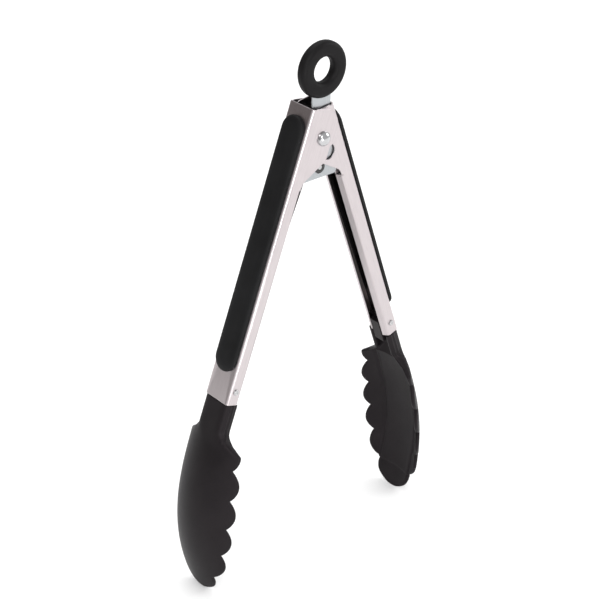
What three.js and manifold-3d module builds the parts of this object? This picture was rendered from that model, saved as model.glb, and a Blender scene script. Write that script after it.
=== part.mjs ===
// Spring loaded kitchen tongs with scalloped nylon heads, soft grips and a pull-ring lock.
// Units are millimetres, +Z up. The tongs stand open on their two tips, hinge at the top.
// The hinge axis runs along Y, the arms swing in the XZ plane, and z = 0 is the level of the tips.
//
// Every arm piece is modelled in the arm's own frame: the hinge axis is the origin, +Z points up
// along the arm, +X points inwards to the other arm, and the arm hangs down along -Z.

import * as THREE from 'three';
import { mergeVertices } from 'three/addons/utils/BufferGeometryUtils.js';
import Module from 'manifold-3d';

const wasm = await Module();
wasm.setup();

// ---------------------------------------------------------------- driving dimensions

const HALF_OPEN = THREE.MathUtils.degToRad(20.05);  // lean of each arm when the tongs stand open

const GAP = 0.3;                // clearance between fixed pieces
const RUNNING_GAP = 0.1;        // clearance of pins in their holes

const SHEET = 0.7;              // stainless sheet of both arms
const EAR_GAP = 0.2;            // side play between the outer and the inner pair of ears
const LEFT_HALF_WIDTH = 8;      // outer channel
const RIGHT_HALF_WIDTH = LEFT_HALF_WIDTH - SHEET - EAR_GAP;
const WEB_X = -11.4;            // outer face of the web, seen from the hinge axis
const FLANGE_DEPTH = 6.7;
const FLANGE_X = WEB_X + FLANGE_DEPTH;
const BEND = 1.2;               // centre-line radius of the sheet bends
const LIP_LENGTH = 2.6;
const LIP_TURN = THREE.MathUtils.degToRad(65);
const ARM_TOP = 12.1;           // the web reaches this far above the hinge axis
const ARM_LENGTH = 129.9;       // and this far below it
const LIP_START = 25;           // the lips begin below the ears

const EAR_ROOT = WEB_X + 2.4;   // the ear plates run into the flanges from here
const EAR_REACH = 6.8;          // how far an ear passes the hinge axis
const EAR_STEP = 1.3;           // the inner edge steps back below the nose
const EAR_NOSE = [-1.9, 4.6];   // heights between which the nose is straight
const EAR_ARC = [10, 9.1];      // half axes of the rounded top
const EAR_FOOT = [-3.2, -20.1]; // end of the fillet between flange and ear
const EAR_FILLET = -21.6;
const EAR_SLANT_END = -10;      // where a near ear's slanting lower edge meets its inner edge
const NOTCH_RADIUS = 13;        // far ears are cut clear of the lock pin outside this radius
const NOTCH_X = -0.8;
const NOTCH_FOOT = -17.35;
const WINDOW_RADIUS = 3.9;      // round window in both inner ears
const WINDOW_X = -1;
const WINDOW_Z = -8.6;

const RIVET_RADIUS = 2;
const RIVET_HEAD_RADIUS = 3.5;
const RIVET_HEAD_RISE = 2.3;
const RIVET_TAIL = [[3, 0], [2.6, 0.8], [1.4, 1.2], [0, 1.3]];  // radius and rise of the upset end
const WASHER_RADIUS = 4;
const WASHER_THICKNESS = 0.7;
const BUSH_RADIUS = 3;

const PLATE_FRONT = -6;         // y of the lock plate's near and far faces
const PLATE_BACK = -5.2;
const PLATE_Y = (PLATE_FRONT + PLATE_BACK) / 2;
const PLATE_TRAVEL = 3;         // how far the ring pushes in
const PLATE_HALF_WIDTH = 9.3;
const PLATE_SHOULDER = 3;       // the plate has its full width below this level, clear of both webs
const FOOT_HALF_WIDTH = 10;
const PLATE_BOTTOM = -19.8;
const PLATE_CORNER = 1;
const TAB_HALF_WIDTH = 5.3;
const TAB_TOP = 24.6;
const TAB_ROOT = 13;
const SLOT_RADIUS = BUSH_RADIUS + 0.2;
const BUSH_OVERHANG = 0.2;      // the lock bush stands this far out of the plate on both sides
const LOCK_PIN_Z = -14.6;
const LOCK_PIN_RADIUS = 1.2;
const LOCK_BUSH_RADIUS = 2.85;

const RING_Z = 32;
const RING_RADIUS = 13;
const RING_HOLE_RADIUS = 5.75;
const RING_HALF_THICKNESS = 2.8;
const RING_EDGE = 2.3;          // rounding of the ring's rims

const SPACER_RADIUS = 5;        // thin nylon washer between spring and lock plate
const SPACER_THICKNESS = 0.8;
const WIRE_RADIUS = 0.7;
const COIL_RADIUS = 4.4;
const COIL_TURNS = 5.5;
const COIL_START = -2.8;        // y of the first and last turn
const COIL_END = 5.3;
const SPRING_LEG = 27;
const LEG_GAP = 0.4;            // between a leg and the web it pushes on

const GRIP_TOP = 7.2;
const GRIP_BOTTOM = -115.5;
const GRIP_HALF_WIDTH = 6.7;
const GRIP_BEVEL = 1;
const GRIP_THICKNESS = 2.8;
const GRIP_BASE = WEB_X - RUNNING_GAP;
const GRIP_STUDS = [-14, -58, -102];
const STUD_RADIUS = 2;
const LINER_TOP = -30;
const LINER_BOTTOM = -112;
const LINER_THICKNESS = 1.2;
const LINER_MARGIN = 2.3;       // narrower than half the channel by this much

const HEAD_START = ARM_LENGTH + GAP;
const HEAD_TIP = 230.5;
const HEAD_WALL = 2.2;
const NECK_DEPTH = 7.6;
const NECK_POWER = 1 / 3;       // below 1, this squares the neck's section
const SCOOP_RADIUS = 23.5;
const SCOOP_HALF_ANGLE = 61.5;  // degrees of arc either side of the middle, where the scoop is widest
const SCOOP_WIDEST = 185;
const FLARE_START = 143;
const FLARE_POWER = 1.5;        // the rims flare out to a pointed first lobe
const TIP_CURL = 25.5;           // how far the tip curls in from the web's outer face
const CURL_START = 150;
const CURL_POWER = 2.7;
const LOBE_PITCH = 15.1;
const FIRST_LOBE = 152.4;
const LOBE_DEPTH = 10;          // degrees of rim angle between a lobe's peak and the valleys
const SCOOP_TOP_SPAN = 58;      // the envelope above the widest point belongs to an ellipse this long
const TANG_TOP = -121;
const TANG_FOOT = -HEAD_START - 6;
const TANG_DEPTH = 3.9;
const RIB_HALF_WIDTH = 3.1;
const RIB_X = WEB_X + 8;
const HEAD_RIVET_Z = -123.2;
const HEAD_RIVET_X = WEB_X + 3.4;
const HEAD_RIVET_RADIUS = 0.9;
const HEAD_RIVET_LENGTH = 3.6;
const HEAD_RIVET_CAP = [[1.4, 0], [1.3, 0.3], [0.8, 0.5], [0, 0.5]];  // radius and rise

// ---------------------------------------------------------------- solids

function toSolid(geometry) {
  const bare = geometry.clone();
  bare.deleteAttribute('normal');
  bare.deleteAttribute('uv');
  const merged = mergeVertices(bare, 1e-5);
  return new wasm.Manifold(new wasm.Mesh({
    numProp: 3,
    vertProperties: new Float32Array(merged.attributes.position.array),
    triVerts: new Uint32Array(merged.index.array),
  }));
}

function toGeometry(solid) {
  const mesh = solid.getMesh();
  const geometry = new THREE.BufferGeometry();
  geometry.setAttribute('position', new THREE.BufferAttribute(new Float32Array(mesh.vertProperties), 3));
  geometry.setIndex(new THREE.BufferAttribute(new Uint32Array(mesh.triVerts), 1));
  return geometry;
}

function join(...geometries) {
  const solids = geometries.map(toSolid);
  return toGeometry(solids.reduce((all, one) => all.add(one)));
}

function cut(geometry, ...tools) {
  const solids = tools.map(toSolid);
  return toGeometry(solids.reduce((all, one) => all.subtract(one), toSolid(geometry)));
}

function box(low, high) {
  const size = high.map((value, i) => value - low[i]);
  const geometry = new THREE.BoxGeometry(...size);
  return geometry.translate(...low.map((value, i) => value + size[i] / 2));
}

// A plate whose outline lies in XZ, between two levels of y.
function plate(shape, yLow, yHigh, curveSegments = 12) {
  const geometry = new THREE.ExtrudeGeometry(shape, {
    depth: yHigh - yLow,
    bevelEnabled: false,
    curveSegments,
  });
  return geometry.rotateX(Math.PI / 2).translate(0, yHigh, 0);
}

// A round bar along Y.
function bar(radius, yLow, yHigh, x = 0, z = 0, segments = 32) {
  return new THREE.CylinderGeometry(radius, radius, yHigh - yLow, segments)
    .translate(x, (yLow + yHigh) / 2, z);
}

// A body turned about Y, from [radius, y] pairs.
function turned(pairs, segments = 28) {
  return new THREE.LatheGeometry(pairs.map(([radius, y]) => new THREE.Vector2(radius, y)), segments);
}

// ---------------------------------------------------------------- bent sheet sections

// Walks along a bent sheet's centre line: straight stretches and arcs, from a start heading.
function walk(start, heading, steps) {
  const points = [start.clone()];
  const direction = heading.clone();
  for (const step of steps) {
    if (step.straight !== undefined) {
      points.push(points.at(-1).clone().addScaledVector(direction, step.straight));
      continue;
    }
    const pieces = 6;
    const turn = step.turn / pieces;
    for (let i = 0; i < pieces; i += 1) {
      direction.rotateAround(new THREE.Vector2(), turn / 2);
      const chord = 2 * step.radius * Math.sin(Math.abs(turn) / 2);
      points.push(points.at(-1).clone().addScaledVector(direction, chord));
      direction.rotateAround(new THREE.Vector2(), turn / 2);
    }
  }
  return points;
}

// Gives a centre line the thickness of the sheet, as a closed outline.
function thicken(points, thickness) {
  const side = (sign) => points.map((point, i) => {
    const before = points[Math.max(i - 1, 0)];
    const after = points[Math.min(i + 1, points.length - 1)];
    const inward = point.clone().sub(before).normalize();
    const outward = after.clone().sub(point).normalize();
    const along = inward.clone().add(outward).normalize();
    const reference = i === 0 ? outward : inward;
    const stretch = 1 / Math.max(along.dot(reference), 0.5);
    const normal = new THREE.Vector2(-along.y, along.x);
    return point.clone().addScaledVector(normal, sign * thickness / 2 * stretch);
  });
  return new THREE.Shape([...side(1), ...side(-1).reverse()]);
}

// The channel's section in XY: web, two flanges and, if wanted, two lips turned inwards.
function channelSection(halfWidth, withLips) {
  const webLine = WEB_X + SHEET / 2;
  const straightHalf = halfWidth - SHEET / 2 - BEND;
  const lipBend = { radius: BEND, turn: LIP_TURN };
  const flange = FLANGE_DEPTH - SHEET / 2 - BEND;
  const steps = [{ straight: straightHalf }, { radius: BEND, turn: Math.PI / 2 }];
  if (withLips) {
    steps.push({ straight: flange - BEND }, lipBend, { straight: LIP_LENGTH });
  } else {
    steps.push({ straight: flange });
  }
  const half = walk(new THREE.Vector2(webLine, 0), new THREE.Vector2(0, -1), steps).slice(1);
  const mirrored = half.map((point) => new THREE.Vector2(point.x, -point.y)).reverse();
  return thicken([...mirrored, ...half], SHEET);
}

function channel(halfWidth, withLips, zLow, zHigh) {
  const geometry = new THREE.ExtrudeGeometry(channelSection(halfWidth, withLips), {
    depth: zHigh - zLow,
    bevelEnabled: false,
  });
  return geometry.translate(0, 0, zLow);
}

// ---------------------------------------------------------------- arms

function earShape(notched) {
  const innerX = EAR_REACH - EAR_STEP;
  const shape = new THREE.Shape();
  shape.moveTo(EAR_ROOT, -LIP_START);
  shape.lineTo(FLANGE_X, -LIP_START);
  shape.quadraticCurveTo(FLANGE_X, EAR_FILLET, ...EAR_FOOT);
  if (notched) {
    const bottom = -Math.sqrt(NOTCH_RADIUS ** 2 - NOTCH_X ** 2);
    const from = Math.atan2(bottom, NOTCH_X);
    const to = -Math.acos(innerX / NOTCH_RADIUS);
    shape.lineTo(NOTCH_X, NOTCH_FOOT);
    shape.lineTo(NOTCH_X, bottom);
    shape.absarc(0, 0, NOTCH_RADIUS, from, to, false);
  } else {
    shape.lineTo(innerX, EAR_SLANT_END);
  }
  shape.lineTo(innerX, EAR_NOSE[0] - EAR_STEP);
  shape.lineTo(EAR_REACH, EAR_NOSE[0]);
  shape.lineTo(EAR_REACH, EAR_NOSE[1]);
  shape.absellipse(EAR_REACH - EAR_ARC[0], EAR_NOSE[1], ...EAR_ARC, 0, Math.PI / 2, false);
  shape.lineTo(EAR_ROOT, ARM_TOP + 0.4);
  shape.closePath();
  return shape;
}

function ear(halfWidth, side, notched) {
  const faces = [side * halfWidth, side * (halfWidth - SHEET)];
  return plate(earShape(notched), Math.min(...faces), Math.max(...faces));
}

// A round bar along X, through the web.
function webBar(radius, xLow, xHigh, z) {
  return new THREE.CylinderGeometry(radius, radius, xHigh - xLow, 24)
    .rotateZ(Math.PI / 2)
    .translate((xLow + xHigh) / 2, 0, z);
}

// notchedSide is the sign of the y side whose ear is cut clear of the lock pin.
function makeArm(halfWidth, notchedSide, withWindows) {
  const through = halfWidth + 1;
  const body = join(
    channel(halfWidth, true, -ARM_LENGTH, -LIP_START),
    channel(halfWidth, false, -LIP_START - 0.01, ARM_TOP),
    ...[-1, 1].map((side) => ear(halfWidth, side, side === notchedSide)),
  );
  const holes = [
    bar(RIVET_RADIUS + RUNNING_GAP, -through, through),
    bar(HEAD_RIVET_RADIUS + RUNNING_GAP, -through, through, HEAD_RIVET_X, HEAD_RIVET_Z, 16),
    ...GRIP_STUDS.map((z) => webBar(STUD_RADIUS + GAP, WEB_X - 1, WEB_X + 1, z)),
  ];
  if (withWindows) {
    holes.push(bar(WINDOW_RADIUS, -through, through, WINDOW_X, WINDOW_Z, 28));
  }
  return cut(body, ...holes);
}

// ---------------------------------------------------------------- soft grips

function stadium(halfWidth, zLow, zHigh) {
  const shape = new THREE.Shape();
  shape.moveTo(halfWidth, zLow + halfWidth);
  shape.lineTo(halfWidth, zHigh - halfWidth);
  shape.absarc(0, zHigh - halfWidth, halfWidth, 0, Math.PI, false);
  shape.lineTo(-halfWidth, zLow + halfWidth);
  shape.absarc(0, zLow + halfWidth, halfWidth, Math.PI, 2 * Math.PI, false);
  return shape;
}

// A plate whose outline lies in YZ, with its base at x and its thickness pointing away from the
// other arm.
function outwardPlate(shape, x, thickness, bevel) {
  const geometry = new THREE.ExtrudeGeometry(shape, {
    depth: thickness - bevel,
    bevelEnabled: bevel > 0,
    bevelThickness: bevel,
    bevelSize: bevel,
    bevelSegments: 4,
    curveSegments: 14,
  });
  return geometry.rotateX(Math.PI / 2).rotateZ(-Math.PI / 2).translate(x, 0, 0);
}

function makeGrip(halfWidth) {
  const outline = stadium(GRIP_HALF_WIDTH - GRIP_BEVEL, GRIP_BOTTOM + GRIP_BEVEL, GRIP_TOP - GRIP_BEVEL);
  const pad = cut(
    outwardPlate(outline, GRIP_BASE, GRIP_THICKNESS, GRIP_BEVEL),
    box([GRIP_BASE, -halfWidth, -ARM_LENGTH], [0, halfWidth, ARM_TOP]),
  );
  const studEnd = WEB_X + SHEET + RUNNING_GAP;
  return join(pad, ...GRIP_STUDS.map((z) => webBar(STUD_RADIUS, GRIP_BASE - 0.5, studEnd, z)));
}

function makeLiner(halfWidth) {
  const outline = stadium(halfWidth - LINER_MARGIN, LINER_BOTTOM, LINER_TOP);
  const outerFace = WEB_X + SHEET + GAP;
  return outwardPlate(outline, outerFace + LINER_THICKNESS, LINER_THICKNESS, 0);
}

// ---------------------------------------------------------------- nylon heads

const smooth = (value) => THREE.MathUtils.smoothstep(value, 0, 1);

// Half the angle that the scoop's section spans at a distance u below the hinge.
function rimAngle(u) {
  const span = u < SCOOP_WIDEST ? SCOOP_TOP_SPAN : HEAD_TIP - SCOOP_WIDEST;
  const envelope = SCOOP_HALF_ANGLE * Math.sqrt(Math.max(0, 1 - ((u - SCOOP_WIDEST) / span) ** 2));
  const lobe = Math.abs(Math.cos(Math.PI * (u - FIRST_LOBE) / LOBE_PITCH));
  const scallop = LOBE_DEPTH * (1 - lobe ** 0.8) * smooth((HEAD_TIP - u) / 6);
  return THREE.MathUtils.degToRad(Math.max(envelope - scallop, 0));
}

// A point of the skin at a distance u below the hinge; s runs from rim to rim as -1 to 1. The square
// neck and the round scoop are two outlines, and the flare blends one into the other.
function headPoint(u, s, inset, neckHalfWidth) {
  const along = THREE.MathUtils.clamp((u - FLARE_START) / (FIRST_LOBE - FLARE_START), 0, 1);
  const flare = THREE.MathUtils.lerp(smooth(along), along ** FLARE_POWER, s ** 4);
  const curl = Math.max(0, (u - CURL_START) / (HEAD_TIP - CURL_START));
  const back = WEB_X + TIP_CURL * curl ** CURL_POWER;
  const neckAngle = s * Math.PI / 2;
  const neckRise = 1 - Math.max(0, Math.cos(neckAngle)) ** NECK_POWER;
  const neckAcross = Math.sign(s) * Math.abs(Math.sin(neckAngle)) ** NECK_POWER;
  const scoopAngle = s * rimAngle(u);
  const neck = [(NECK_DEPTH - inset) * neckRise, (neckHalfWidth - inset) * neckAcross];
  const scoop = [
    (SCOOP_RADIUS - inset) * (1 - Math.cos(scoopAngle)),
    (SCOOP_RADIUS - inset) * Math.sin(scoopAngle),
  ];
  return [
    back + inset + THREE.MathUtils.lerp(neck[0], scoop[0], flare),
    THREE.MathUtils.lerp(neck[1], scoop[1], flare),
    -u,
  ];
}

// One closed loft: outer skin, inner skin, and the rim that joins them.
function headShell(neckHalfWidth) {
  const rows = 56;
  const columns = 12;
  const last = HEAD_TIP - 0.25;
  const positions = [];
  for (const inset of [0, HEAD_WALL]) {
    for (let i = 0; i <= rows; i += 1) {
      const u = THREE.MathUtils.lerp(HEAD_START, last, i / rows);
      for (let j = 0; j <= columns; j += 1) {
        positions.push(...headPoint(u, 2 * j / columns - 1, inset, neckHalfWidth));
      }
    }
  }
  const at = (layer, i, j) => (layer * (rows + 1) + i) * (columns + 1) + j;
  const index = [];
  const quad = (a, b, c, d) => index.push(a, b, c, a, c, d);
  for (let i = 0; i < rows; i += 1) {
    for (let j = 0; j < columns; j += 1) {
      quad(at(0, i, j), at(0, i, j + 1), at(0, i + 1, j + 1), at(0, i + 1, j));
      quad(at(1, i, j), at(1, i + 1, j), at(1, i + 1, j + 1), at(1, i, j + 1));
    }
    quad(at(0, i, 0), at(0, i + 1, 0), at(1, i + 1, 0), at(1, i, 0));
    quad(at(0, i, columns), at(1, i, columns), at(1, i + 1, columns), at(0, i + 1, columns));
  }
  for (let j = 0; j < columns; j += 1) {
    quad(at(0, 0, j), at(1, 0, j), at(1, 0, j + 1), at(0, 0, j + 1));
    quad(at(0, rows, j), at(0, rows, j + 1), at(1, rows, j + 1), at(1, rows, j));
  }
  const geometry = new THREE.BufferGeometry();
  geometry.setAttribute('position', new THREE.BufferAttribute(new Float32Array(positions), 3));
  geometry.setIndex(index);
  return geometry;
}

function makeHead(halfWidth) {
  const innerHalf = halfWidth - SHEET - GAP;
  const floor = WEB_X + SHEET + GAP;
  const tang = box([floor, -innerHalf, TANG_FOOT], [floor + TANG_DEPTH, innerHalf, TANG_TOP]);
  const rib = box([floor, -RIB_HALF_WIDTH, TANG_FOOT], [RIB_X, RIB_HALF_WIDTH, TANG_TOP]);
  const head = join(headShell(halfWidth), tang, rib);
  const bores = [-1, 1].map((side) => {
    const ends = [side * (innerHalf - HEAD_RIVET_LENGTH + GAP), side * halfWidth];
    return bar(HEAD_RIVET_RADIUS + RUNNING_GAP, Math.min(...ends), Math.max(...ends),
      HEAD_RIVET_X, HEAD_RIVET_Z, 16);
  });
  return cut(head, ...bores);
}

// A cap or an upset end: its profile lifted to start at the level y.
const lifted = (profile, y) => profile.map(([radius, rise]) => [radius, y + rise]);

function makeHeadRivet(halfWidth, side) {
  const face = halfWidth + RUNNING_GAP;
  const foot = face - HEAD_RIVET_LENGTH;
  const rivet = turned([
    [0, foot], [HEAD_RIVET_RADIUS, foot], [HEAD_RIVET_RADIUS, face], ...lifted(HEAD_RIVET_CAP, face),
  ], 20);
  if (side < 0) {
    rivet.rotateX(Math.PI);
  }
  return rivet.translate(HEAD_RIVET_X, 0, HEAD_RIVET_Z);
}

// ---------------------------------------------------------------- hinge

const EAR_FACE = LEFT_HALF_WIDTH + RUNNING_GAP;
const WASHER_FACE = EAR_FACE + WASHER_THICKNESS;

function makePivotRivet() {
  const steps = 6;
  const far = WASHER_FACE + RUNNING_GAP;
  const dome = [[0, -EAR_FACE - RIVET_HEAD_RISE]];
  for (let i = 1; i <= steps; i += 1) {
    const angle = Math.PI / 2 * i / steps;
    dome.push([RIVET_HEAD_RADIUS * Math.sin(angle), -EAR_FACE - RIVET_HEAD_RISE * Math.cos(angle)]);
  }
  return turned([...dome, [RIVET_RADIUS, -EAR_FACE], [RIVET_RADIUS, far], ...lifted(RIVET_TAIL, far)]);
}

function sleeve(inner, outer, yLow, yHigh, segments = 36) {
  return turned([[inner, yLow], [outer, yLow], [outer, yHigh], [inner, yHigh], [inner, yLow]], segments);
}

function makePivotBush() {
  const half = RIGHT_HALF_WIDTH - SHEET - RUNNING_GAP;
  return sleeve(RIVET_RADIUS + RUNNING_GAP, BUSH_RADIUS, -half, half);
}

// The spring's wire: down one arm, round the bush, and down the other arm.
class SpringCurve extends THREE.Curve {
  constructor() {
    super();
    const reach = -WEB_X - SHEET - LEG_GAP - WIRE_RADIUS - COIL_RADIUS;
    this.leg = SPRING_LEG;
    this.tilt = Math.atan2(reach, this.leg) + HALF_OPEN;
    this.sweep = 2 * Math.PI * COIL_TURNS - 2 * this.tilt;
    this.coil = this.sweep * COIL_RADIUS;
    this.total = this.coil + 2 * this.leg;
  }

  getPoint(t, target = new THREE.Vector3()) {
    const along = t * this.total;
    const turn = THREE.MathUtils.clamp((along - this.leg) / this.coil, 0, 1);
    const angle = Math.PI + this.tilt + this.sweep * turn;
    const y = THREE.MathUtils.lerp(COIL_START, COIL_END, turn);
    target.set(COIL_RADIUS * Math.cos(angle), y, -COIL_RADIUS * Math.sin(angle));
    const before = Math.max(0, this.leg - along);
    const after = Math.max(0, along - this.leg - this.coil);
    target.x += (after - before) * Math.sin(this.tilt);
    target.z -= (after + before) * Math.cos(this.tilt);
    return target;
  }
}

function makeSpring() {
  const section = new THREE.Shape();
  section.absarc(0, 0, WIRE_RADIUS, 0, 2 * Math.PI, false);
  return new THREE.ExtrudeGeometry(section, {
    steps: 110,
    curveSegments: 4,
    bevelEnabled: false,
    extrudePath: new SpringCurve(),
  });
}

// ---------------------------------------------------------------- lock and pull ring

function makeLockPlate() {
  const half = [
    [TAB_HALF_WIDTH, TAB_TOP],
    [TAB_HALF_WIDTH, TAB_ROOT],
    [PLATE_HALF_WIDTH, PLATE_SHOULDER],
    [PLATE_HALF_WIDTH, PLATE_BOTTOM + 10],
    [FOOT_HALF_WIDTH, PLATE_BOTTOM + 5],
    [FOOT_HALF_WIDTH, PLATE_BOTTOM + PLATE_CORNER],
    [FOOT_HALF_WIDTH - PLATE_CORNER, PLATE_BOTTOM],
  ];
  const outline = [...half, ...half.map(([x, z]) => [-x, z]).reverse()];
  const shape = new THREE.Shape(outline.map(([x, z]) => new THREE.Vector2(x, z)));
  const slot = new THREE.Path();
  slot.absarc(0, PLATE_TRAVEL, SLOT_RADIUS, 0, Math.PI, false);
  slot.absarc(0, 0, SLOT_RADIUS, Math.PI, 2 * Math.PI, false);
  slot.closePath();
  const hole = new THREE.Path();
  hole.absarc(0, LOCK_PIN_Z, LOCK_BUSH_RADIUS + RUNNING_GAP, 0, 2 * Math.PI, false);
  shape.holes.push(slot, hole);
  return plate(shape, PLATE_FRONT, PLATE_BACK, 16);
}

function makeLockBush() {
  const inner = LOCK_PIN_RADIUS + RUNNING_GAP;
  const ends = [PLATE_FRONT - BUSH_OVERHANG, PLATE_BACK + BUSH_OVERHANG];
  return sleeve(inner, LOCK_BUSH_RADIUS, ...ends).translate(0, 0, LOCK_PIN_Z);
}

function makeLockPin() {
  const near = PLATE_FRONT - BUSH_OVERHANG - RUNNING_GAP;
  return bar(LOCK_PIN_RADIUS, near, LEFT_HALF_WIDTH + GAP, 0, LOCK_PIN_Z);
}

function makeRing() {
  const profile = new THREE.Path();
  const inner = RING_HOLE_RADIUS + RING_EDGE;
  const outer = RING_RADIUS - RING_EDGE;
  const side = RING_HALF_THICKNESS - RING_EDGE;
  profile.absarc(outer, -side, RING_EDGE, -Math.PI / 2, 0, false);
  profile.absarc(outer, side, RING_EDGE, 0, Math.PI / 2, false);
  profile.absarc(inner, side, RING_EDGE, Math.PI / 2, Math.PI, false);
  profile.absarc(inner, -side, RING_EDGE, Math.PI, 1.5 * Math.PI, false);
  profile.closePath();
  const ring = new THREE.LatheGeometry(profile.getPoints(2), 48).translate(0, PLATE_Y, RING_Z);
  const slot = box(
    [-TAB_HALF_WIDTH - RUNNING_GAP, PLATE_FRONT - RUNNING_GAP, RING_Z - RING_RADIUS - 1],
    [TAB_HALF_WIDTH + RUNNING_GAP, PLATE_BACK + RUNNING_GAP, TAB_TOP + RUNNING_GAP],
  );
  return cut(ring, slot);
}

// ---------------------------------------------------------------- assembly

const steel = () => new THREE.MeshStandardMaterial({ color: 0xcfc9c6, roughness: 0.32, metalness: 1 });
const polished = () => new THREE.MeshStandardMaterial({ color: 0xe0e0e4, roughness: 0.12, metalness: 1 });
const springSteel = () => new THREE.MeshStandardMaterial({ color: 0x8d8d90, roughness: 0.3, metalness: 1 });
const softGrip = () => new THREE.MeshStandardMaterial({ color: 0x17171a, roughness: 0.62, metalness: 0 });
const nylon = () => new THREE.MeshStandardMaterial({ color: 0x1d1b1d, roughness: 0.48, metalness: 0 });
const ringPlastic = () => new THREE.MeshStandardMaterial({ color: 0x1a181b, roughness: 0.55, metalness: 0 });

function piece(name, geometry, material) {
  const mesh = new THREE.Mesh(geometry, material);
  mesh.name = name;
  return mesh;
}

function armPieces(name, halfWidth, nearSide) {
  const isInner = halfWidth < LEFT_HALF_WIDTH;
  return [
    piece(`${name}_arm`, makeArm(halfWidth, -nearSide, isInner), steel()),
    piece(`${name}_grip`, makeGrip(halfWidth), softGrip()),
    piece(`${name}_grip_liner`, makeLiner(halfWidth), nylon()),
    piece(`${name}_head`, makeHead(halfWidth), nylon()),
    piece(`${name}_head_rivet_near`, makeHeadRivet(halfWidth, nearSide), polished()),
    piece(`${name}_head_rivet_far`, makeHeadRivet(halfWidth, -nearSide), polished()),
  ];
}

// The left arm leans outwards to -X. The right arm is the same arm turned round to face it.
const leftArm = new THREE.Group();
leftArm.add(...armPieces('left', LEFT_HALF_WIDTH, -1));
leftArm.rotation.y = HALF_OPEN;

const rightArm = new THREE.Group();
rightArm.add(...armPieces('right', RIGHT_HALF_WIDTH, 1));
rightArm.rotation.set(0, -HALF_OPEN, Math.PI, 'YXZ');

const washer = sleeve(RIVET_RADIUS + RUNNING_GAP, WASHER_RADIUS, EAR_FACE, WASHER_FACE);
const spacer = sleeve(BUSH_RADIUS + RUNNING_GAP, SPACER_RADIUS, PLATE_BACK + RUNNING_GAP,
  PLATE_BACK + RUNNING_GAP + SPACER_THICKNESS);

const hinge = new THREE.Group();
hinge.add(
  piece('pivot_rivet', makePivotRivet(), polished()),
  piece('pivot_washer', washer, polished()),
  piece('pivot_bush', makePivotBush(), springSteel()),
  piece('spring_spacer', spacer, nylon()),
  piece('torsion_spring', makeSpring(), springSteel()),
);

const lock = new THREE.Group();
lock.add(
  piece('lock_plate', makeLockPlate(), steel()),
  piece('lock_bush', makeLockBush(), nylon()),
  piece('lock_pin', makeLockPin(), polished()),
  piece('pull_ring', makeRing(), ringPlastic()),
);

const tongs = new THREE.Group();
tongs.add(leftArm, rightArm, hinge, lock);
tongs.position.z = -new THREE.Box3().setFromObject(tongs, true).min.z;

export default tongs;
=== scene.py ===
"""Spring loaded kitchen tongs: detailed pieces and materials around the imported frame.

Lengths in the constants are millimetres. Arm pieces are drawn in the arm's own frame: hinge axis at
the origin, +Z up along the arm, +X inwards to the other arm. Meshes are placed in metres.
"""

import math

import bmesh
import bpy
import numpy as np
from mathutils import Matrix, Vector


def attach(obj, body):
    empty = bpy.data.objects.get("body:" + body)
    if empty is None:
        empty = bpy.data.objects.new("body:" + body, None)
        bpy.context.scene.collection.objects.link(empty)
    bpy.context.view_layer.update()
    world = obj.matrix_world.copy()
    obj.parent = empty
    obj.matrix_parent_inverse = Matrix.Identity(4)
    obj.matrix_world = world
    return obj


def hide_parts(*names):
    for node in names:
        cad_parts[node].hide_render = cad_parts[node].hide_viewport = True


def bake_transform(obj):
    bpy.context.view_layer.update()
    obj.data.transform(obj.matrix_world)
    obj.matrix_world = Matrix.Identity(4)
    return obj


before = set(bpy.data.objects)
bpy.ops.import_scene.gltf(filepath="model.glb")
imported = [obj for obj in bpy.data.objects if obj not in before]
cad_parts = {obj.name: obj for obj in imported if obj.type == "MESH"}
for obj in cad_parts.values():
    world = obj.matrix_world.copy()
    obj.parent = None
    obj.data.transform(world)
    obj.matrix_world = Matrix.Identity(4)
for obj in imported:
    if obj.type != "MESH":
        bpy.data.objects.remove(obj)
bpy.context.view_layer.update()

# ---------------------------------------------------------------- dimensions

MM = 0.001
PIVOT_Z = 221.8566
HALF_OPEN = math.radians(20.05)
SHEET = 0.7
GAP = 0.3
LEFT_HALF_WIDTH = 8.0
RIGHT_HALF_WIDTH = 7.1
WEB_X = -11.4

GRIP_TOP = 7.2
GRIP_BOTTOM = -115.5
GRIP_HALF_WIDTH = 6.7
GRIP_THICKNESS = 2.8
GRIP_BASE = WEB_X - 0.1
GRIP_WALL = 1.0
GRIP_CROWN_POWERS = (3.2, 2.1)

HEAD_START = 130.2
HEAD_TIP = 230.5
HEAD_WALL = 2.2
NECK_DEPTH = 7.6
SCOOP_RADIUS = 23.5
SCOOP_HALF_ANGLE = 61.5
SCOOP_WIDEST = 185.0
NECK_POWER = 1 / 3
FLARE_START = 143.0
FLARE_POWER = 1.5
TIP_CURL = 25.5
CURL_START = 150.0
CURL_POWER = 2.7
LOBE_PITCH = 15.1
FIRST_LOBE = 152.4
LOBE_DEPTH = 10.0
SCOOP_TOP_SPAN = 58.0
RIM_STEPS = 6
RIDGE_PLACES = (9.7, 11.6)
RIDGE_HALF_WIDTH = 0.34
RIDGE_HEIGHT = 0.34
RIDGE_END = 153.0
RIDGE_FADE = 9.0
CREASE_Y = 11.0
CREASE_FILL = 0.55
GROOVE_DEPTH = 0.55
GROOVE_HALF_WIDTH = 0.75

TANG_TOP = -121.0
TANG_FOOT = -HEAD_START - 5
TANG_DEPTH = 3.9
RIB_HALF_WIDTH = 3.1
RIB_X = WEB_X + 8
HEAD_RIVET_X = WEB_X + 3.4
HEAD_RIVET_Z = -123.2
INNER_SHADE_FOOT = -20.0

RIVET_RADIUS = 2.0
RIVET_HEAD_RADIUS = 3.5
RIVET_HEAD_RISE = 2.3

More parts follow.
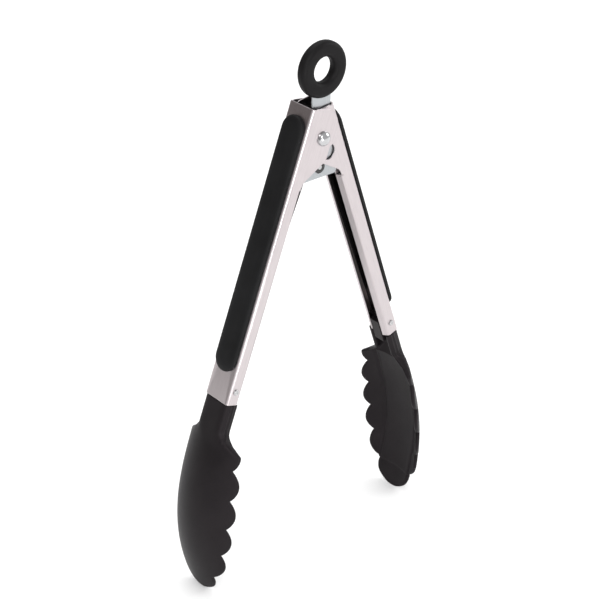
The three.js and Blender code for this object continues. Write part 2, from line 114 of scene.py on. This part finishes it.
RING_Z = 32.0
RING_Y = -5.6
RING_RADIUS = 13.0
RING_HOLE = 5.75
RING_HALF_THICKNESS = 2.8
RING_EDGE = 2.3

COIL_START = -2.8
COIL_END = 5.3
COIL_RADIUS = 4.4
COIL_TURNS = 5.5
WIRE_RADIUS = 0.7
SPRING_LEG = 27.0
LEG_GAP = 0.4

CAMERA_AZIMUTH = math.radians(42.0)
CAMERA_ELEVATION = math.radians(28.6)
CAMERA_ROLL = math.radians(1.5)
CAMERA_TARGET = Vector((0, 0, (PIVOT_Z - 72.73) * MM))
CAMERA_DISTANCE = 0.7236
FLOOR_HALF_SIZE = 1.2
SHADED_SIDE = Vector((-0.756, 0.652, 0.05))

# ---------------------------------------------------------------- mesh helpers


def smoothstep(value):
    value = min(max(value, 0.0), 1.0)
    return value * value * (3 - 2 * value)


def mix(a, b, t):
    return a + (b - a) * t


def make_object(name, points, faces, matrix=None):
    """A mesh object from points in millimetres, placed by matrix in the pivot's frame."""
    mesh = bpy.data.meshes.new(name)
    place = Matrix.Translation((0, 0, PIVOT_Z)) @ (matrix or Matrix.Identity(4))
    mesh.from_pydata([tuple(MM * (place @ Vector(p))) for p in points], [], faces)
    mesh.validate()
    built = bmesh.new()
    built.from_mesh(mesh)
    bmesh.ops.remove_doubles(built, verts=built.verts, dist=1e-7)
    bmesh.ops.recalc_face_normals(built, faces=built.faces)
    built.to_mesh(mesh)
    built.free()
    obj = bpy.data.objects.new(name, mesh)
    bpy.context.scene.collection.objects.link(obj)
    shade(obj)
    return obj


def shade(obj, degrees=32):
    """Smooth shading that keeps edges sharper than the given angle."""
    for polygon in obj.data.polygons:
        polygon.use_smooth = True
    bpy.context.view_layer.objects.active = obj
    obj.data.set_sharp_from_angle(angle=math.radians(degrees))


def round_edges(obj, width, segments=2, degrees=35):
    """Rounds the sharp edges of a mesh by a width in millimetres."""
    bevel = obj.modifiers.new("round", "BEVEL")
    bevel.width = width * MM
    bevel.segments = segments
    bevel.limit_method = "ANGLE"
    bevel.angle_limit = math.radians(degrees)
    bevel.use_clamp_overlap = False
    bevel.harden_normals = True
    bpy.context.view_layer.objects.active = obj
    obj.select_set(True)
    bpy.ops.object.modifier_apply(modifier=bevel.name)
    obj.select_set(False)


def refined(node, width, segments=2):
    """A new piece with a CAD node's shape, cleaned and with rounded edges."""
    name = node + "_finished"
    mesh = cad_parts[node].data.copy()
    mesh.name = name
    mesh.materials.clear()
    built = bmesh.new()
    built.from_mesh(mesh)
    bmesh.ops.remove_doubles(built, verts=built.verts, dist=2e-6)
    bmesh.ops.dissolve_limit(
        built, angle_limit=math.radians(1), verts=built.verts, edges=built.edges
    )
    built.to_mesh(mesh)
    built.free()
    obj = bpy.data.objects.new(name, mesh)
    bpy.context.scene.collection.objects.link(obj)
    shade(obj)
    round_edges(obj, width, segments)
    return obj


def arm_matrix(side):
    """From the arm's own frame to the pivot's frame."""
    if side == "left":
        return Matrix.Rotation(HALF_OPEN, 4, "Y")
    return Matrix.Rotation(-HALF_OPEN, 4, "Y") @ Matrix.Rotation(math.pi, 4, "Z")


def grid_faces(rows, columns, start=0, close_columns=False):
    """Quads of a grid of points; close_columns joins the last column to the first."""
    faces = []
    last = columns if close_columns else columns - 1
    for i in range(rows - 1):
        for j in range(last):
            k = (j + 1) % columns
            faces.append((
                start + i * columns + j,
                start + i * columns + k,
                start + (i + 1) * columns + k,
                start + (i + 1) * columns + j,
            ))
    return faces


def lathe(name, profile, segments=96, y=0.0, x=0.0, z=0.0, matrix=None):
    """Turns [radius, y] pairs about Y; radius 0 ends close the body."""
    points = []
    for radius, level in profile:
        for k in range(segments):
            angle = 2 * math.pi * k / segments
            points.append((x + radius * math.cos(angle), y + level, z + radius * math.sin(angle)))
    return make_object(name, points, grid_faces(len(profile), segments, 0, True), matrix)


def arc(cx, cy, radius, start, end, steps):
    """Points of an arc, angles in degrees."""
    angles = [math.radians(mix(start, end, k / steps)) for k in range(steps + 1)]
    return [(cx + radius * math.cos(a), cy + radius * math.sin(a)) for a in angles]


# ---------------------------------------------------------------- materials


class Look:
    """A principled material with procedural colour, roughness and bump."""

    def __init__(self, name, metallic, **sockets):
        self.material = bpy.data.materials.new(name)
        self.material.use_nodes = True
        self.nodes = self.material.node_tree.nodes
        self.links = self.material.node_tree.links
        self.shader = self.nodes["Principled BSDF"]
        self.shader.inputs["Metallic"].default_value = metallic
        for socket, value in sockets.items():
            self.shader.inputs[socket.replace("_", " ")].default_value = value
        self.bump = None

    def noise(self, scale, detail=3.0, stretch=(1, 1, 1), lean=0.0, rough=0.5):
        """A noise over the piece's own space; scale is in cells per metre."""
        place = self.nodes.new("ShaderNodeTexCoord")
        mapping = self.nodes.new("ShaderNodeMapping")
        mapping.vector_type = "POINT"
        turn = self.nodes.new("ShaderNodeVectorRotate")
        turn.rotation_type = "Y_AXIS"
        turn.inputs["Angle"].default_value = lean
        mapping.inputs["Scale"].default_value = stretch
        noise = self.nodes.new("ShaderNodeTexNoise")
        noise.inputs["Scale"].default_value = scale
        noise.inputs["Detail"].default_value = detail
        noise.inputs["Roughness"].default_value = rough
        self.links.new(place.outputs["Object"], turn.inputs["Vector"])
        self.links.new(turn.outputs["Vector"], mapping.inputs["Vector"])
        self.links.new(mapping.outputs["Vector"], noise.inputs["Vector"])
        return noise.outputs["Fac"]

    def ramp(self, source, stops):
        node = self.nodes.new("ShaderNodeValToRGB")
        elements = node.color_ramp.elements
        for element, (place, colour) in zip(elements, (stops[0], stops[-1])):
            element.position = place
            element.color = (*colour, 1)
        for place, colour in stops[1:-1]:
            elements.new(place).color = (*colour, 1)
        self.links.new(source, node.inputs["Fac"])
        return node.outputs["Color"]

    def colour(self, source, stops):
        self.links.new(self.ramp(source, stops), self.shader.inputs["Base Color"])
        return self

    def roughness(self, source, low, high):
        node = self.nodes.new("ShaderNodeMapRange")
        node.inputs["From Min"].default_value = 0.3
        node.inputs["From Max"].default_value = 0.7
        node.inputs["To Min"].default_value = low
        node.inputs["To Max"].default_value = high
        self.links.new(source, node.inputs["Value"])
        self.links.new(node.outputs["Result"], self.shader.inputs["Roughness"])
        return self

    def add_bump(self, source, strength, distance):
        node = self.nodes.new("ShaderNodeBump")
        node.inputs["Strength"].default_value = strength
        node.inputs["Distance"].default_value = distance * MM
        self.links.new(source, node.inputs["Height"])
        if self.bump is not None:
            self.links.new(self.bump.outputs["Normal"], node.inputs["Normal"])
        self.links.new(node.outputs["Normal"], self.shader.inputs["Normal"])
        self.bump = node
        return self


def grey(value, tint=(1, 1, 1)):
    return tuple(value * t for t in tint)


def brushed_steel(name, lean, tint, value=0.53):
    """Satin sheet with a fine grain that runs along the arm."""
    look = Look(name, 1.0)
    grain = look.noise(1.0, 4.0, (5200, 5200, 90), lean, 0.62)
    broad = look.noise(38.0, 3.0, (1, 1, 0.45), lean)
    look.colour(grain, [
        (0.28, grey(value * 0.90, tint)), (0.5, grey(value, tint)), (0.75, grey(value * 1.06, tint)),
    ])
    look.roughness(broad, 0.26, 0.36)
    look.add_bump(grain, 0.16, 0.02)
    look.add_bump(broad, 0.05, 0.25)
    return look.material


def polished_steel(name):
    look = Look(name, 1.0)
    marks = look.noise(1500.0, 4.0)
    soft = look.noise(260.0, 2.0)
    look.colour(soft, [(0.3, grey(0.42)), (0.7, grey(0.50, (0.98, 0.98, 1.0)))])
    look.roughness(marks, 0.10, 0.19)
    look.add_bump(marks, 0.05, 0.01)
    return look.material


def spring_wire(name):
    look = Look(name, 1.0)
    drawn = look.noise(2100.0, 3.0, (1, 0.4, 1))
    look.colour(drawn, [(0.3, grey(0.30, (1, 0.98, 0.96))), (0.7, grey(0.44, (1, 0.99, 0.98)))])
    look.roughness(drawn, 0.28, 0.42)
    look.add_bump(drawn, 0.1, 0.02)
    return look.material


def moulded(name, low, high, rough, grain, bump, tint=(1, 1, 1), **sockets):
    """Black moulded plastic or rubber with a fine texture; grain is in cells per metre."""
    look = Look(name, 0.0, **sockets)
    fine = look.noise(grain, 3.0, rough=0.6)
    cloud = look.noise(70.0, 3.0)
    look.colour(cloud, [(0.3, grey(low, tint)), (0.7, grey(high, tint))])
    look.roughness(fine, *rough)
    look.add_bump(fine, bump, 0.05)
    return look.material


STEEL_TINT = (1.0, 0.915, 0.930)
LOOKS = {
    "left_steel": brushed_steel("left_brushed_steel", -HALF_OPEN, STEEL_TINT),
    # painted shade: a dark steel for the channel's inside, standing in for its shade and dark
    # reflections
    "painted_shade_steel": brushed_steel("shaded_inner_steel", 0.0, STEEL_TINT, 0.10),
    "right_steel": brushed_steel("right_brushed_steel", HALF_OPEN, STEEL_TINT),
    # painted shade: the lock plate's steel is darker and bluer than the arms', standing in for the
    # shade of its recess between the ears
    "shade_painted_plate_steel": brushed_steel("lock_plate_steel", 0.0, (0.93, 0.97, 1.0), 0.42),
    "polished": polished_steel("polished_rivet_steel"),
    "wire": spring_wire("drawn_spring_wire"),
    "grip": moulded(
        "soft_grip_rubber", 0.0050, 0.0080, (0.50, 0.62), 2600.0, 0.30, (1, 1, 1.07),
        Specular_IOR_Level=0.13,
    ),
    "liner": moulded("liner_plastic", 0.0085, 0.013, (0.36, 0.48), 3000.0, 0.15),
    "nylon": moulded(
        "head_nylon", 0.0055, 0.0090, (0.42, 0.54), 3400.0, 0.34, (1, 0.86, 0.93),
        Specular_IOR_Level=0.15, Specular_Tint=(1.0, 0.88, 0.95, 1.0),
    ),
    "ring": moulded(
        "ring_plastic", 0.0050, 0.0080, (0.44, 0.55), 3600.0, 0.22, (1, 0.92, 0.98),
        Specular_IOR_Level=0.10,
    ),
    "spacer": moulded("spacer_nylon", 0.010, 0.016, (0.4, 0.5), 3600.0, 0.2),
}


def finish_piece(obj, body, look, slot, *nodes):
    """Gives a piece its material and its body, and hides the nodes it stands for; slot is not used."""
    obj.data.materials.clear()
    obj.data.materials.append(LOOKS[look])
    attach(obj, body)
    if nodes:
        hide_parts(*nodes)
    return obj


# ---------------------------------------------------------------- camera, floor and light


def make_camera():
    azimuth, elevation, roll = CAMERA_AZIMUTH, CAMERA_ELEVATION, CAMERA_ROLL
    back = Vector((
        -math.sin(azimuth) * math.cos(elevation),
        -math.cos(azimuth) * math.cos(elevation),
        math.sin(elevation),
    ))
    right = Vector((math.cos(azimuth), -math.sin(azimuth), 0))
    up = back.cross(right)
    turned_right = math.cos(roll) * right + math.sin(roll) * up
    turned_up = math.cos(roll) * up - math.sin(roll) * right
    data = bpy.data.cameras.new("camera")
    data.lens, data.sensor_width = 92.76, 36.0
    data.shift_x, data.shift_y = -0.0133, -0.0395
    camera = bpy.data.objects.new("camera", data)
    turn = Matrix((turned_right, turned_up, back)).transposed()
    camera.matrix_world = Matrix.Translation(CAMERA_TARGET + CAMERA_DISTANCE * back) @ turn.to_4x4()
    bpy.context.scene.collection.objects.link(camera)
    bpy.context.scene.camera = camera


def make_floor():
    size = FLOOR_HALF_SIZE
    mesh = bpy.data.meshes.new("floor")
    corners = [(-size, -size, 0), (size, -size, 0), (size, size, 0), (-size, size, 0)]
    mesh.from_pydata(corners, [], [(0, 1, 2, 3)])
    floor = bpy.data.objects.new("floor", mesh)
    bpy.context.scene.collection.objects.link(floor)
    look = Look("pale_floor", 0.0, Roughness=0.9)
    look.colour(look.noise(3.0, 2.0), [(0.3, grey(0.90)), (0.7, grey(0.93))])
    mesh.materials.append(look.material)


def area_light(name, place, target, size, power, colour=(1, 1, 1)):
    data = bpy.data.lights.new(name, "AREA")
    data.shape, data.size, data.energy, data.color = "DISK", size, power, colour
    light = bpy.data.objects.new(name, data)
    light.location = place
    light.rotation_euler = (Vector(target) - Vector(place)).to_track_quat("-Z", "Y").to_euler()
    bpy.context.scene.collection.objects.link(light)


def make_world():
    """White to the eye; a soft studio with one darker side for reflections."""
    world = bpy.data.worlds.new("studio")
    bpy.context.scene.world = world
    world.use_nodes = True
    nodes, links = world.node_tree.nodes, world.node_tree.links
    background = nodes["Background"]
    place = nodes.new("ShaderNodeTexCoord")
    dot = nodes.new("ShaderNodeVectorMath")
    dot.operation = "DOT_PRODUCT"
    dot.inputs[1].default_value = SHADED_SIDE.normalized()
    ramp = nodes.new("ShaderNodeValToRGB")
    ramp.color_ramp.elements[0].position = 0.35
    ramp.color_ramp.elements[0].color = (0.85, 0.85, 0.86, 1)
    ramp.color_ramp.elements[1].position = 0.9
    ramp.color_ramp.elements[1].color = (0.17, 0.155, 0.15, 1)
    path = nodes.new("ShaderNodeLightPath")
    blend = nodes.new("ShaderNodeMix")
    blend.data_type = "RGBA"
    blend.inputs["A"].default_value = (1.12, 1.12, 1.12, 1)
    links.new(place.outputs["Generated"], dot.inputs[0])
    links.new(dot.outputs["Value"], ramp.inputs["Fac"])
    links.new(path.outputs["Is Glossy Ray"], blend.inputs["Factor"])
    links.new(ramp.outputs["Color"], blend.inputs["B"])
    links.new(blend.outputs["Result"], background.inputs["Color"])
    background.inputs["Strength"].default_value = 0.9


bpy.context.scene.view_settings.view_transform = "Standard"
make_camera()
make_floor()
make_world()
area_light("key", (-0.75, -0.95, 1.1), (0, 0, 0.12), 0.6, 7)
area_light("fill", (1.2, -0.6, 0.7), (0, 0, 0.12), 0.9, 6)
area_light("top", (0.1, 0.5, 1.6), (0, 0, 0.1), 1.0, 7)
area_light("low", (-0.35, -1.0, 0.14), (0.03, 0, 0.04), 0.35, 3)

# ---------------------------------------------------------------- arms


def make_arm(side, half_width):
    """The bent sheet arm; the top of the channel's inside is painted darker than its outside, as
    painted shade and dark reflection of the channel's interior.
    """
    arm = refined(f"{side}_arm", 0.18)
    finish_piece(arm, f"{side}_arm", f"{side}_steel", "brushed_stainless", f"{side}_arm")
    # painted shade: the channel's inner faces above INNER_SHADE_FOOT take the dark steel
    arm.data.materials.append(LOOKS["painted_shade_steel"])
    place = Matrix.Translation((0, 0, PIVOT_Z)) @ arm_matrix(side)
    to_arm = place.inverted()
    for polygon in arm.data.polygons:
        centre = to_arm @ (Vector(polygon.center) / MM)
        normal = to_arm.to_3x3() @ Vector(polygon.normal)
        inner_web = normal.x > 0.7 and centre.x < WEB_X + 1.2
        inner_side = centre.y * normal.y < 0 and abs(normal.y) > 0.7
        deep = abs(centre.y) < half_width - SHEET / 2
        if centre.z > INNER_SHADE_FOOT and deep and (inner_web or inner_side):
            polygon.material_index = 1


# ---------------------------------------------------------------- grips


def stadium_loop(half_width, low, high, steps, straight):
    """Points of a stadium outline in YZ, the same count for every half width."""
    points = []
    for k in range(steps + 1):
        angle = math.pi * k / steps
        points.append((half_width * math.cos(angle), high + half_width * math.sin(angle)))
    for k in range(1, straight):
        points.append((-half_width, mix(high, low, k / straight)))
    for k in range(steps + 1):
        angle = math.pi + math.pi * k / steps
        points.append((half_width * math.cos(angle), low + half_width * math.sin(angle)))
    for k in range(1, straight):
        points.append((half_width, mix(low, high, k / straight)))
    return points


def make_grip(side):
    """A soft pad: a short wall, a rounded shoulder and a gently crowned face."""
    width = GRIP_HALF_WIDTH
    low, high = GRIP_BOTTOM + width, GRIP_TOP - width
    rings = [(width - 0.05, 0.0), (width, 0.12), (width, GRIP_WALL)]
    crown = GRIP_THICKNESS - GRIP_WALL
    along, upwards = GRIP_CROWN_POWERS
    steps = 26
    for k in range(1, steps + 1):
        inset = width * (k / steps) ** 1.7
        share = 1 - inset / width
        height = crown * (1 - share**along) ** (1 / upwards)
        rings.append((width - inset, GRIP_WALL + height))
    points = []
    for half, height in rings:
        for y, z in stadium_loop(max(half, 0.0005), low, high, 24, 40):
            points.append((GRIP_BASE - height, y, z))
    count = len(points) // len(rings)
    faces = grid_faces(len(rings), count, 0, True)
    faces.append(tuple(range(count)))
    obj = make_object(f"{side}_soft_grip", points, faces, arm_matrix(side))
    finish_piece(obj, f"{side}_arm", "grip", "soft_grip", f"{side}_grip")


def make_liner(side):
    liner = refined(f"{side}_grip_liner", 0.25, 3)
    finish_piece(liner, f"{side}_arm", "liner", "grip_liner_plastic", f"{side}_grip_liner")


# ---------------------------------------------------------------- heads


def rim_angle(u):
    """Half the angle that the scoop's section spans at a distance u below the hinge."""
    span = SCOOP_TOP_SPAN if u < SCOOP_WIDEST else HEAD_TIP - SCOOP_WIDEST
    envelope = SCOOP_HALF_ANGLE * math.sqrt(max(0.0, 1 - ((u - SCOOP_WIDEST) / span) ** 2))
    lobe = abs(math.cos(math.pi * (u - FIRST_LOBE) / LOBE_PITCH))
    scallop = LOBE_DEPTH * (1 - lobe**0.8) * smoothstep((HEAD_TIP - u) / 6)
    return math.radians(max(envelope - scallop, 0.0))


def half_curve(u, neck_half_width, inset, samples=160):
    """One side of the section at u, from the middle to the rim, as evenly spaced x, y arrays.

    The square neck and the round scoop are two outlines, and the flare blends one into the other.
    """
    along = min(max((u - FLARE_START) / (FIRST_LOBE - FLARE_START), 0.0), 1.0)
    share = 1 - (1 - np.linspace(0, 1, samples * 4)) ** mix(4, 1, along)
    flare = mix(smoothstep(along), along**FLARE_POWER, share**4)
    curl = max(0.0, (u - CURL_START) / (HEAD_TIP - CURL_START))
    neck_angle, scoop_angle = share * math.pi / 2, share * rim_angle(u)
    neck_x = (NECK_DEPTH - inset) * (1 - np.clip(np.cos(neck_angle), 0, 1) ** NECK_POWER)
    neck_y = (neck_half_width - inset) * np.sin(neck_angle) ** NECK_POWER
    scoop_x = (SCOOP_RADIUS - inset) * (1 - np.cos(scoop_angle))
    scoop_y = (SCOOP_RADIUS - inset) * np.sin(scoop_angle)
    x = WEB_X + TIP_CURL * curl**CURL_POWER + inset + mix(neck_x, scoop_x, flare)
    y = mix(neck_y, scoop_y, flare)
    if inset:
        level = np.interp(CREASE_Y, y, x) if y[-1] > CREASE_Y else x[-1]
        floor = x + CREASE_FILL * smoothstep(along) * np.clip(level - x, 0, None)
        x = np.where(y < CREASE_Y, floor, x)
        groove = np.exp(-(((y - CREASE_Y) / GROOVE_HALF_WIDTH) ** 2))
        x = x - GROOVE_DEPTH * smoothstep(along) * groove
    length = np.concatenate([[0], np.cumsum(np.hypot(np.diff(x), np.diff(y)))])
    even = np.linspace(0, length[-1], samples)
    return np.interp(even, length, x), np.interp(even, length, y), length[-1]


def ridge(distance, u):
    """Two thin raised lines down the neck's sides, at set distances round from the middle."""
    fade = smoothstep((RIDGE_END - u) / RIDGE_FADE)
    rise = sum(math.exp(-(((distance - d) / RIDGE_HALF_WIDTH) ** 2)) for d in RIDGE_PLACES)
    return RIDGE_HEIGHT * fade * rise


def head_row(u, neck_half_width, columns):
    """The closed outline of the section at u: outer skin, rounded rims, inner skin."""
    sides = []
    for inset in (0.0, HEAD_WALL):
        x, y, total = half_curve(u, neck_half_width, inset)
        radius = min(HEAD_WALL / 2, total * 0.45)
        keep = np.linspace(0, max(1 - radius / max(total, 1e-6), 0.05), columns)
        source = np.linspace(0, 1, len(x))
        px, py = np.interp(keep, source, x), np.interp(keep, source, y)
        if inset == 0.0:
            tangent = np.gradient(py), -np.gradient(px)
            scale = np.maximum(np.hypot(*tangent), 1e-9)
            lift = np.array([ridge(k * total, u) for k in keep])
            px = px - lift * tangent[0] / scale
            py = py - lift * tangent[1] / scale
        sides.append((px, py))
    (ox, oy), (ix, iy) = sides
    mid = np.array([(ox[-1] + ix[-1]) / 2, (oy[-1] + iy[-1]) / 2])
    across = np.array([ox[-1], oy[-1]]) - mid
    onward = np.array([-across[1], across[0]])
    along = np.array([ox[-1] - ox[-2], oy[-1] - oy[-2]])
    if onward @ along < 0:
        onward = -onward
    turn = [math.pi * k / RIM_STEPS for k in range(1, RIM_STEPS)]
    rim = [mid + across * math.cos(a) + onward * math.sin(a) for a in turn]
    half = [(ox[k], oy[k]) for k in range(columns)] + [tuple(p) for p in rim]
    half += [(ix[k], iy[k]) for k in reversed(range(columns))]
    other = [(x, -y) for x, y in reversed(half)]
    return [(x, y, -u) for x, y in half[:-1]] + [(x, y, -u) for x, y in other[:-1]]


def make_head(side, half_width):
    rows, columns = 250, 40
    levels = [mix(HEAD_START, HEAD_TIP - 0.25, k / rows) for k in range(rows + 1)]
    points = []
    for u in levels:
        points += head_row(u, half_width, columns)
    count = len(points) // len(levels)
    faces = grid_faces(len(levels), count, 0, True)
    for start in (0, (len(levels) - 1) * count):
        for k in range(count // 2 - 1):
            faces.append((start + k, start + k + 1, start + count - 2 - k, start + count - 1 - k))
    head = make_object(f"{side}_scalloped_head", points, faces, arm_matrix(side))
    shade(head, 50)
    finish_piece(head, f"{side}_arm", "nylon", "head_nylon", f"{side}_head")
    tang = make_tang(side, half_width)
    finish_piece(tang, f"{side}_arm", "nylon", "head_nylon")


def box_points(low, high):
    return [(x, y, z) for x in (low[0], high[0]) for y in (low[1], high[1]) for z in (low[2], high[2])]


BOX_FACES = [(0, 1, 3, 2), (4, 6, 7, 5), (0, 4, 5, 1), (2, 3, 7, 6), (0, 2, 6, 4), (1, 5, 7, 3)]


def make_tang(side, half_width):
    """The tongue that goes up inside the channel, with its stiffening rib."""
    inner = half_width - SHEET - GAP
    floor = WEB_X + SHEET + GAP
    points = box_points((floor, -inner, TANG_FOOT), (floor + TANG_DEPTH, inner, TANG_TOP))
    faces = list(BOX_FACES)
    rib = box_points(
        (floor + TANG_DEPTH - 0.2, -RIB_HALF_WIDTH, TANG_FOOT), (RIB_X, RIB_HALF_WIDTH, TANG_TOP - 0.6)
    )
    faces += [tuple(8 + k for k in face) for face in BOX_FACES]
    tang = make_object(f"{side}_head_tang", points + rib, faces, arm_matrix(side))
    round_edges(tang, 0.35, 3)
    return tang


def make_head_rivets(side, half_width):
    for name, sign in (("near", -1 if side == "left" else 1), ("far", 1 if side == "left" else -1)):
        face = half_width + 0.1
        profile = [(0, face - 0.6), (0.9, face - 0.6), (0.9, face), (1.4, face)]
        profile += arc(1.15, face + 0.24, 0.25, 0, 90, 4)
        profile += [(0.62, face + 0.44), (0.5, face + 0.32), (0, face + 0.30)]
        points = [(radius, sign * y) for radius, y in profile]
        rivet = lathe(
            f"{side}_{name}_head_rivet", points, 40, 0, HEAD_RIVET_X, HEAD_RIVET_Z, arm_matrix(side)
        )
        node = f"{side}_head_rivet_{name}"
        finish_piece(rivet, f"{side}_arm", "polished", "rivet_steel", node)


for side, half_width in (("left", LEFT_HALF_WIDTH), ("right", RIGHT_HALF_WIDTH)):
    make_arm(side, half_width)
    make_grip(side)
    make_liner(side)
    make_head(side, half_width)
    make_head_rivets(side, half_width)

# ---------------------------------------------------------------- hinge


def make_pivot_rivet():
    """A domed head with a small flat rim, the shank and the upset tail."""
    face = -LEFT_HALF_WIDTH - 0.1
    profile = [(0, face - RIVET_HEAD_RISE)]
    for k in range(1, 19):
        angle = math.pi / 2 * k / 18
        profile.append((3.42 * math.sin(angle), face - 0.18 - 2.12 * math.cos(angle)))
    profile += [(RIVET_HEAD_RADIUS, face - 0.1), (RIVET_HEAD_RADIUS, face)]
    tail = LEFT_HALF_WIDTH + 0.9
    profile += [(RIVET_RADIUS, face), (RIVET_RADIUS, tail)]
    profile += [(3.0, tail), (2.9, tail + 0.35), (2.6, tail + 0.75), (1.8, tail + 1.1)]
    profile += [(0.9, tail + 1.25), (0, tail + 1.3)]
    rivet = lathe("domed_pivot_rivet", profile, 96)
    finish_piece(rivet, "left_arm", "polished", "rivet_steel", "pivot_rivet")


def finish_node(node, body, look, slot, width, segments=2):
    finish_piece(refined(node, width, segments), body, look, slot, node)


def spring_path():
    """Points down one leg, round the coil and down the other leg."""
    reach = -WEB_X - SHEET - LEG_GAP - WIRE_RADIUS - COIL_RADIUS
    tilt = math.atan2(reach, SPRING_LEG) + HALF_OPEN
    sweep = 2 * math.pi * COIL_TURNS - 2 * tilt
    coil = 240
    path = []
    for share in np.linspace(1, 0, 12, endpoint=False):
        path.append((share, 0.0, -1))
    path += [(0.0, turn, 0) for turn in np.linspace(0, 1, coil)]
    for share in np.linspace(0, 1, 13)[1:]:
        path.append((share, 1.0, 1))
    points = []
    for share, turn, direction in path:
        angle = math.pi + tilt + sweep * turn
        leg = share * SPRING_LEG
        points.append(Vector((
            COIL_RADIUS * math.cos(angle) + direction * leg * math.sin(tilt),
            mix(COIL_START, COIL_END, turn),
            -COIL_RADIUS * math.sin(angle) - leg * math.cos(tilt),
        )))
    return points


def make_spring():
    path = spring_path()
    sides = 14
    points = []
    for k, point in enumerate(path):
        tangent = (path[min(k + 1, len(path) - 1)] - path[max(k - 1, 0)]).normalized()
        side = tangent.cross(Vector((0, 1, 0))).normalized()
        other = side.cross(tangent).normalized()
        for j in range(sides):
            angle = 2 * math.pi * j / sides
            offset = WIRE_RADIUS * (math.cos(angle) * side + math.sin(angle) * other)
            points.append(tuple(point + offset))
    faces = grid_faces(len(path), sides, 0, True)
    faces.append(tuple(range(sides)))
    faces.append(tuple(range(len(points) - sides, len(points))))
    spring = make_object("wound_torsion_spring", points, faces)
    spring.data.materials.append(LOOKS["wire"])
    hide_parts("torsion_spring")
    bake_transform(spring)


make_pivot_rivet()
make_spring()
finish_node("pivot_washer", "left_arm", "polished", "rivet_steel", 0.12)
finish_node("pivot_bush", "lock_carrier", "wire", "spring_steel", 0.1)
finish_node("spring_spacer", "left_arm", "spacer", "spacer_nylon", 0.1)

# ---------------------------------------------------------------- lock and pull ring


def make_ring():
    """A turned ring with broad flat faces and full rounded rims."""
    outer, inner = RING_RADIUS - RING_EDGE, RING_HOLE + RING_EDGE
    side = RING_HALF_THICKNESS - RING_EDGE
    profile = arc(outer, -side, RING_EDGE, -90, 0, 12) + arc(outer, side, RING_EDGE, 0, 90, 12)
    profile += arc(inner, side, RING_EDGE, 90, 180, 12) + arc(inner, -side, RING_EDGE, 180, 270, 12)
    profile.append(profile[0])
    ring = lathe("moulded_pull_ring", profile, 128, RING_Y, 0, RING_Z)
    finish_piece(ring, "lock_slider", "ring", "ring_plastic", "pull_ring")


make_ring()
finish_node("lock_plate", "lock_slider", "shade_painted_plate_steel", "lock_plate_steel", 0.12)
finish_node("lock_bush", "lock_slider", "spacer", "spacer_nylon", 0.15)
finish_node("lock_pin", "lock_slider", "polished", "rivet_steel", 0.3, 3)
